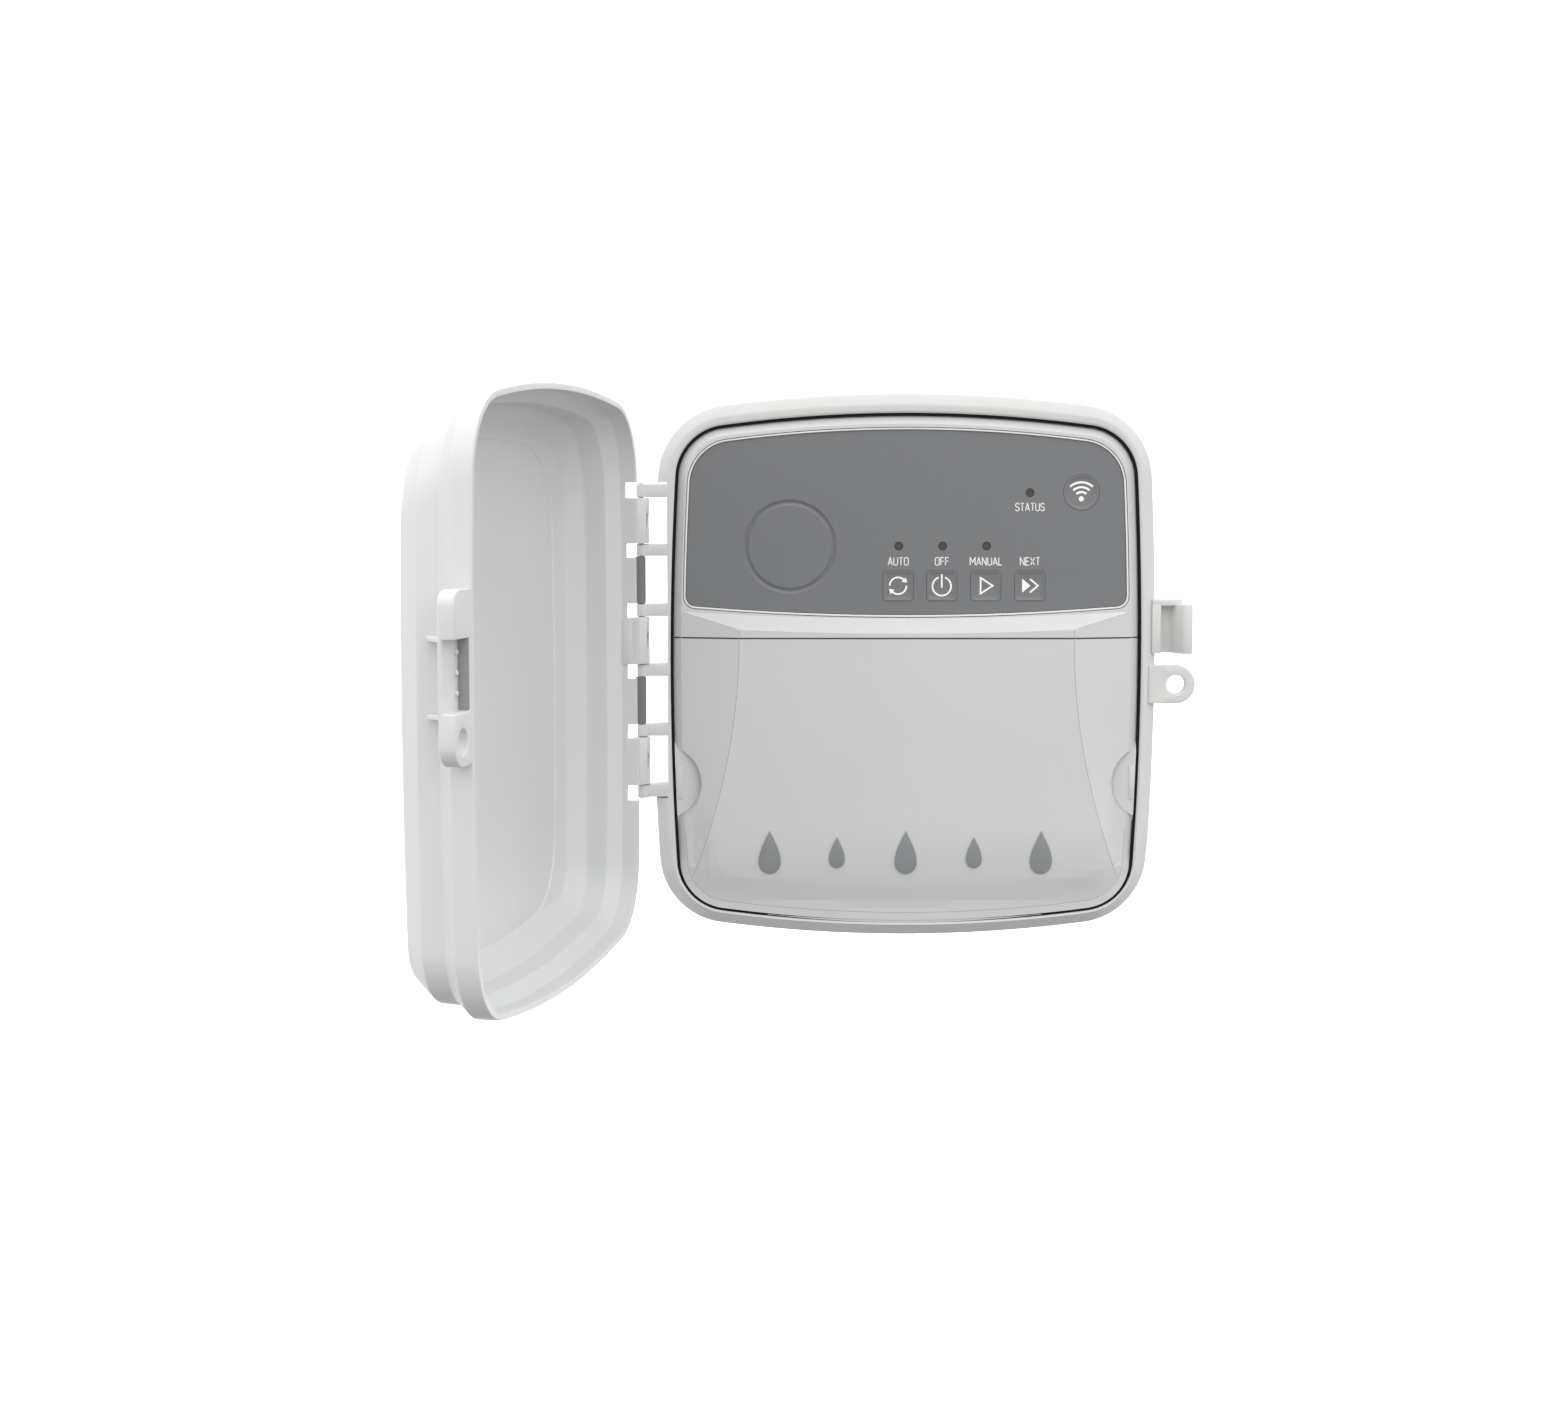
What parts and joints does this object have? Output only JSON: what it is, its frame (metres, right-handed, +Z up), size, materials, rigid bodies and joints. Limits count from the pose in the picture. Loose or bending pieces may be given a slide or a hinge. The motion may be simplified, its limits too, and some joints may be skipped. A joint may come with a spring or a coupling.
{
  "type": "irrigation controller",
  "caption": "Outdoor wall-mounted irrigation timer: enclosure with hinged door, button panel, removable wiring cover, terminals and transformer.",
  "frame": {"origin": "on the wall face at the centre of the enclosure", "axes": "+X to the right seen from the front, +Y into the wall, +Z up"},
  "size_m": [0.2682, 0.264, 0.202],
  "materials": {
    "enclosure_plastic": "satin moulded",
    "door_plastic": "satin moulded",
    "module_plastic": "satin moulded",
    "cover_plastic": "satin moulded",
    "overlay_film": "fine matt film",
    "key_plastic": "fine matt",
    "light_pipe": "smoked",
    "seal_rubber": "matt black",
    "board_green": "solder-masked laminate",
    "black_plastic": "moulded",
    "terminal_plastic": "moulded",
    "screw_steel": "zinc plated",
    "shield_steel": "tinned",
    "core_steel": "varnished laminations",
    "coil_tape": "taped winding",
    "pin_steel": "dark rod",
    "sleeve_plastic": "dark moulded",
    "ribbon_grey": "flat cable"
  },
  "bodies": {
    "enclosure": {"base_enclosure": "enclosure_plastic", "back_plate": "enclosure_plastic", "snap_catch": "enclosure_plastic", "padlock_eye": "enclosure_plastic", "rim_gasket": "seal_rubber", "module_bezel": "module_plastic", "module_back": "black_plastic", "panel_overlay": "overlay_film", "main_board": "board_green", "wifi_module": "shield_steel", "coin_cell": "screw_steel", "terminal_board": "board_green", "terminal_strip": "terminal_plastic", "transformer_core": "core_steel", "transformer_coil": "coil_tape", "transformer_bracket": "screw_steel", "mains_terminal": "black_plastic", "conduit_plug": "enclosure_plastic", "ribbon_cable": "ribbon_grey", "ribbon_socket": "black_plastic", "hinge_pin": "pin_steel", "hinge_sleeve_upper": "sleeve_plastic", "hinge_sleeve_lower": "sleeve_plastic", "tact_auto": "black_plastic", "tact_off": "black_plastic", "tact_manual": "black_plastic", "tact_next": "black_plastic", "tact_wifi": "black_plastic", "led_auto": "light_pipe", "led_off": "light_pipe", "led_manual": "light_pipe", "led_status": "light_pipe", "board_screw_1": "screw_steel", "module_screw_1": "screw_steel", "board_screw_2": "screw_steel", "module_screw_2": "screw_steel", "board_screw_3": "screw_steel", "module_screw_3": "screw_steel", "board_screw_4": "screw_steel", "module_screw_4": "screw_steel", "terminal_screw_1": "screw_steel", "terminal_screw_2": "screw_steel", "terminal_screw_3": "screw_steel", "terminal_screw_4": "screw_steel", "terminal_screw_5": "screw_steel", "terminal_screw_6": "screw_steel", "terminal_screw_7": "screw_steel", "terminal_screw_8": "screw_steel", "terminal_screw_9": "screw_steel", "terminal_screw_10": "screw_steel", "transformer_screw_1": "screw_steel", "transformer_screw_2": "screw_steel"},
    "door": {"door_shell": "door_plastic"},
    "lower_cover": {"wiring_cover": "cover_plastic"},
    "auto_button": {"key_auto": "key_plastic"},
    "off_button": {"key_off": "key_plastic"},
    "manual_button": {"key_manual": "key_plastic"},
    "next_button": {"key_next": "key_plastic"},
    "wifi_button": {"key_wifi": "key_plastic"}
  },
  "joints": [
    {"name": "door_hinge", "type": "hinge", "parent": "enclosure", "child": "door", "pos_m": [-0.0975, -0.06265, 0], "axis": [0, 0, -1], "range_deg": [-101.9, 8]},
    {"name": "lower_cover_pull_off", "type": "slide", "parent": "enclosure", "child": "lower_cover", "axis": [0, -1, 0], "range_m": [0, 0.04]},
    {"name": "auto_button_press", "type": "slide", "parent": "enclosure", "child": "auto_button", "axis": [0, 1, 0], "range_m": [0, 0.0008], "stiffness_N_per_m": 1200},
    {"name": "off_button_press", "type": "slide", "parent": "enclosure", "child": "off_button", "axis": [0, 1, 0], "range_m": [0, 0.0008], "stiffness_N_per_m": 1200},
    {"name": "manual_button_press", "type": "slide", "parent": "enclosure", "child": "manual_button", "axis": [0, 1, 0], "range_m": [0, 0.0008], "stiffness_N_per_m": 1200},
    {"name": "next_button_press", "type": "slide", "parent": "enclosure", "child": "next_button", "axis": [0, 1, 0], "range_m": [0, 0.0008], "stiffness_N_per_m": 1200},
    {"name": "wifi_button_press", "type": "slide", "parent": "enclosure", "child": "wifi_button", "axis": [0, 1, 0], "range_m": [0, 0.0008], "stiffness_N_per_m": 1200}
  ]
}
